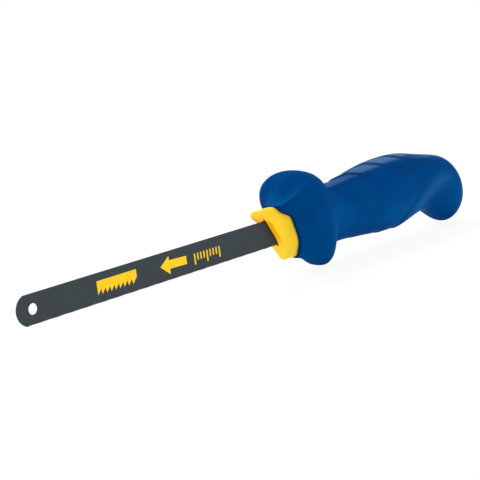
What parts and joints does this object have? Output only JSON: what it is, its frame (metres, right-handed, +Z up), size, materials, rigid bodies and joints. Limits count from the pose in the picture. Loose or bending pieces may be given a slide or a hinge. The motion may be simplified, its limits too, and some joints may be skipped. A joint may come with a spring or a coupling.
{
  "type": "multi-blade saw",
  "caption": "Hand saw that clamps a hacksaw blade by its flat in a push collar, with a soft guarded grip, swept ridges and a hooked pommel.",
  "frame": {"origin": "mouth of the blade slot, on the blade's centre line", "axes": "+X along the handle to the pommel, so the blade points to -X; Y across the blade; +Z up, so the teeth face -Z"},
  "size_m": [0.2945, 0.039, 0.0489],
  "materials": {
    "blade_steel": "dark painted spring steel, satin",
    "yellow_plastic": "moulded, satin",
    "tool_steel": "ground",
    "cast_metal": "as cast",
    "bright_steel": "bright zinc",
    "core_plastic": "moulded",
    "blue_rubber": "soft satin"
  },
  "bodies": {
    "handle": {"grip_sleeve": "blue_rubber", "left_core": "core_plastic", "right_core": "core_plastic", "core_screws": "bright_steel", "core_dowels": "bright_steel", "jaw_housing": "cast_metal", "housing_pins": "bright_steel", "collar_pin": "bright_steel", "spring_seat": "bright_steel", "left_jaw_spring": "bright_steel", "right_jaw_spring": "bright_steel", "blade_guide": "bright_steel", "blade_stop": "bright_steel"},
    "collar": {"clamp_collar": "yellow_plastic"},
    "left_jaw_body": {"left_jaw": "tool_steel"},
    "right_jaw_body": {"right_jaw": "tool_steel"},
    "blade": {"saw_blade": "blade_steel"}
  },
  "joints": [
    {"name": "collar_push", "type": "slide", "parent": "handle", "child": "collar", "axis": [1, 0, 0], "range_m": [0, 0.005], "stiffness_N_per_m": 1200, "springref_m": -0.004},
    {"name": "left_jaw_slide", "type": "slide", "parent": "handle", "child": "left_jaw_body", "axis": [0.9903, -0.1392, 0], "range_m": [0, 0.0051], "deforming": ["left_jaw_spring"]},
    {"name": "right_jaw_slide", "type": "slide", "parent": "handle", "child": "right_jaw_body", "axis": [0.9903, 0.1392, 0], "range_m": [0, 0.0051], "deforming": ["right_jaw_spring"]},
    {"name": "blade_draw", "type": "slide", "parent": "handle", "child": "blade", "axis": [-1, 0, 0], "range_m": [0, 0.126]}
  ],
  "couplings": [
    {"joint": "left_jaw_slide", "follows": "collar_push", "ratio": 1.0098},
    {"joint": "right_jaw_slide", "follows": "collar_push", "ratio": 1.0098}
  ]
}
